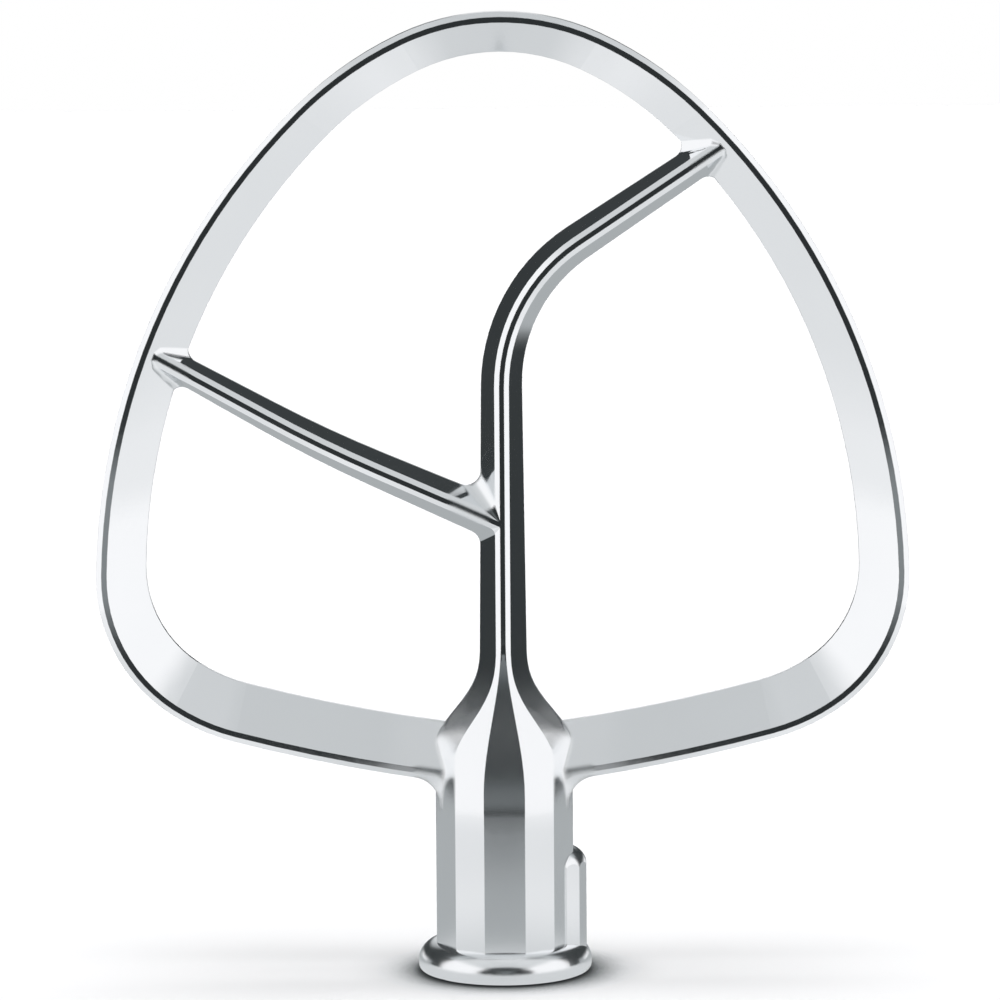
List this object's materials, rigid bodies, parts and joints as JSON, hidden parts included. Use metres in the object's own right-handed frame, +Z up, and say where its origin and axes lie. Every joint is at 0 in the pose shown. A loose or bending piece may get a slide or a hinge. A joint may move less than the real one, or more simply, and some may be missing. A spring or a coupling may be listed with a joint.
{
  "type": "stand mixer flat beater",
  "caption": "Flat beater for a stand mixer: a bevelled rounded ring with a bent stalk and a bowed cross arm, cast in one with a faceted hub that has a keyed shaft socket.",
  "frame": {"origin": "on the hub's axis, in the plane of the collar's foot", "axes": "+Z up along the hub's axis to the top of the ring, +X across the ring towards the upper branch, -Y out of the front"},
  "size_m": [0.1448, 0.0312, 0.1722],
  "materials": {
    "steel": "polished cast stainless steel"
  },
  "bodies": {
    "root": {"flat_beater": "steel"}
  },
  "joints": []
}
